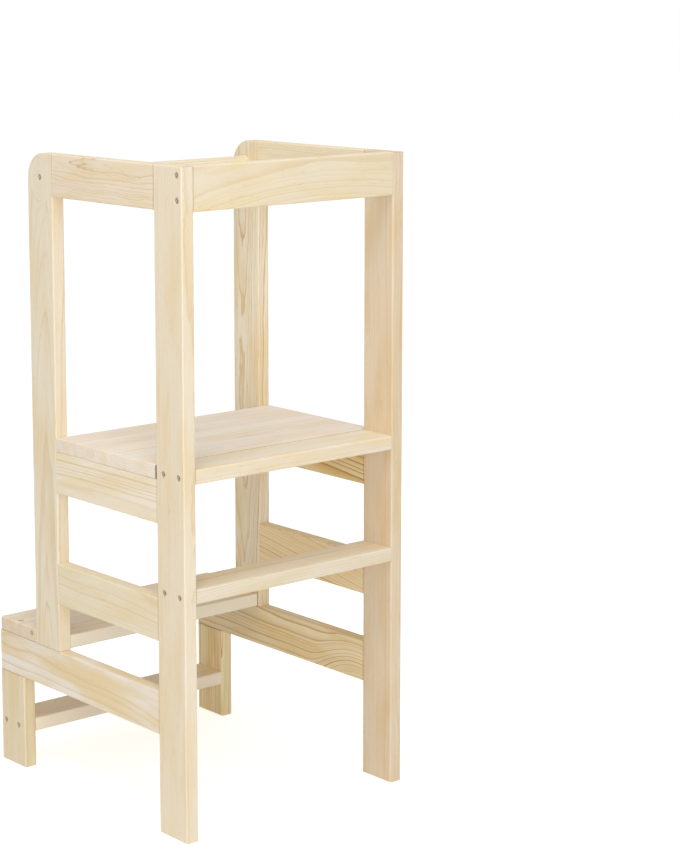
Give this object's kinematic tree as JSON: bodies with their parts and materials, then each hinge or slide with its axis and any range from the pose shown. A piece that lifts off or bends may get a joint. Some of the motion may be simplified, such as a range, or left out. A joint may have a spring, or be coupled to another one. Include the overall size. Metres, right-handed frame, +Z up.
{
  "type": "toddler kitchen helper stool",
  "caption": "Pine tower stool for a toddler, with a standing platform between two side frames, a front rail, a rear safety bar and a low step behind.",
  "frame": {"origin": "on the floor, under the centre of the stool's outline", "axes": "+X across the stool to its right as a person sees it from the front, +Y from the front to the rear, where the step is, +Z up"},
  "size_m": [0.39, 0.45, 0.91],
  "materials": {
    "pine": "planed and sanded, untreated",
    "pine_edge_glued": "edge-glued panel, planed and sanded, untreated",
    "beech_dowel": "fluted dowel, glued",
    "zinc_plated_steel": "bright zinc plate"
  },
  "bodies": {
    "root": {"left_front_post": "pine", "left_rear_post": "pine", "left_top_rail": "pine", "left_platform_rail": "pine", "left_middle_rail": "pine", "left_lower_rail": "pine", "left_short_leg": "pine", "right_front_post": "pine", "right_rear_post": "pine", "right_top_rail": "pine", "right_platform_rail": "pine", "right_middle_rail": "pine", "right_lower_rail": "pine", "right_short_leg": "pine", "front_top_rail": "pine", "platform_front_board": "pine", "platform_panel": "pine_edge_glued", "front_crosspiece": "pine", "step_tread": "pine_edge_glued", "rear_crosspiece": "pine", "safety_bar": "pine", "front_rail_screws": "zinc_plated_steel", "platform_screws": "zinc_plated_steel", "front_crosspiece_screws": "zinc_plated_steel", "rear_crosspiece_screws": "zinc_plated_steel", "safety_bar_screws": "zinc_plated_steel", "step_tread_screws": "zinc_plated_steel", "left_frame_dowels": "beech_dowel", "right_frame_dowels": "beech_dowel", "platform_panel_dowels": "beech_dowel"}
  },
  "joints": []
}
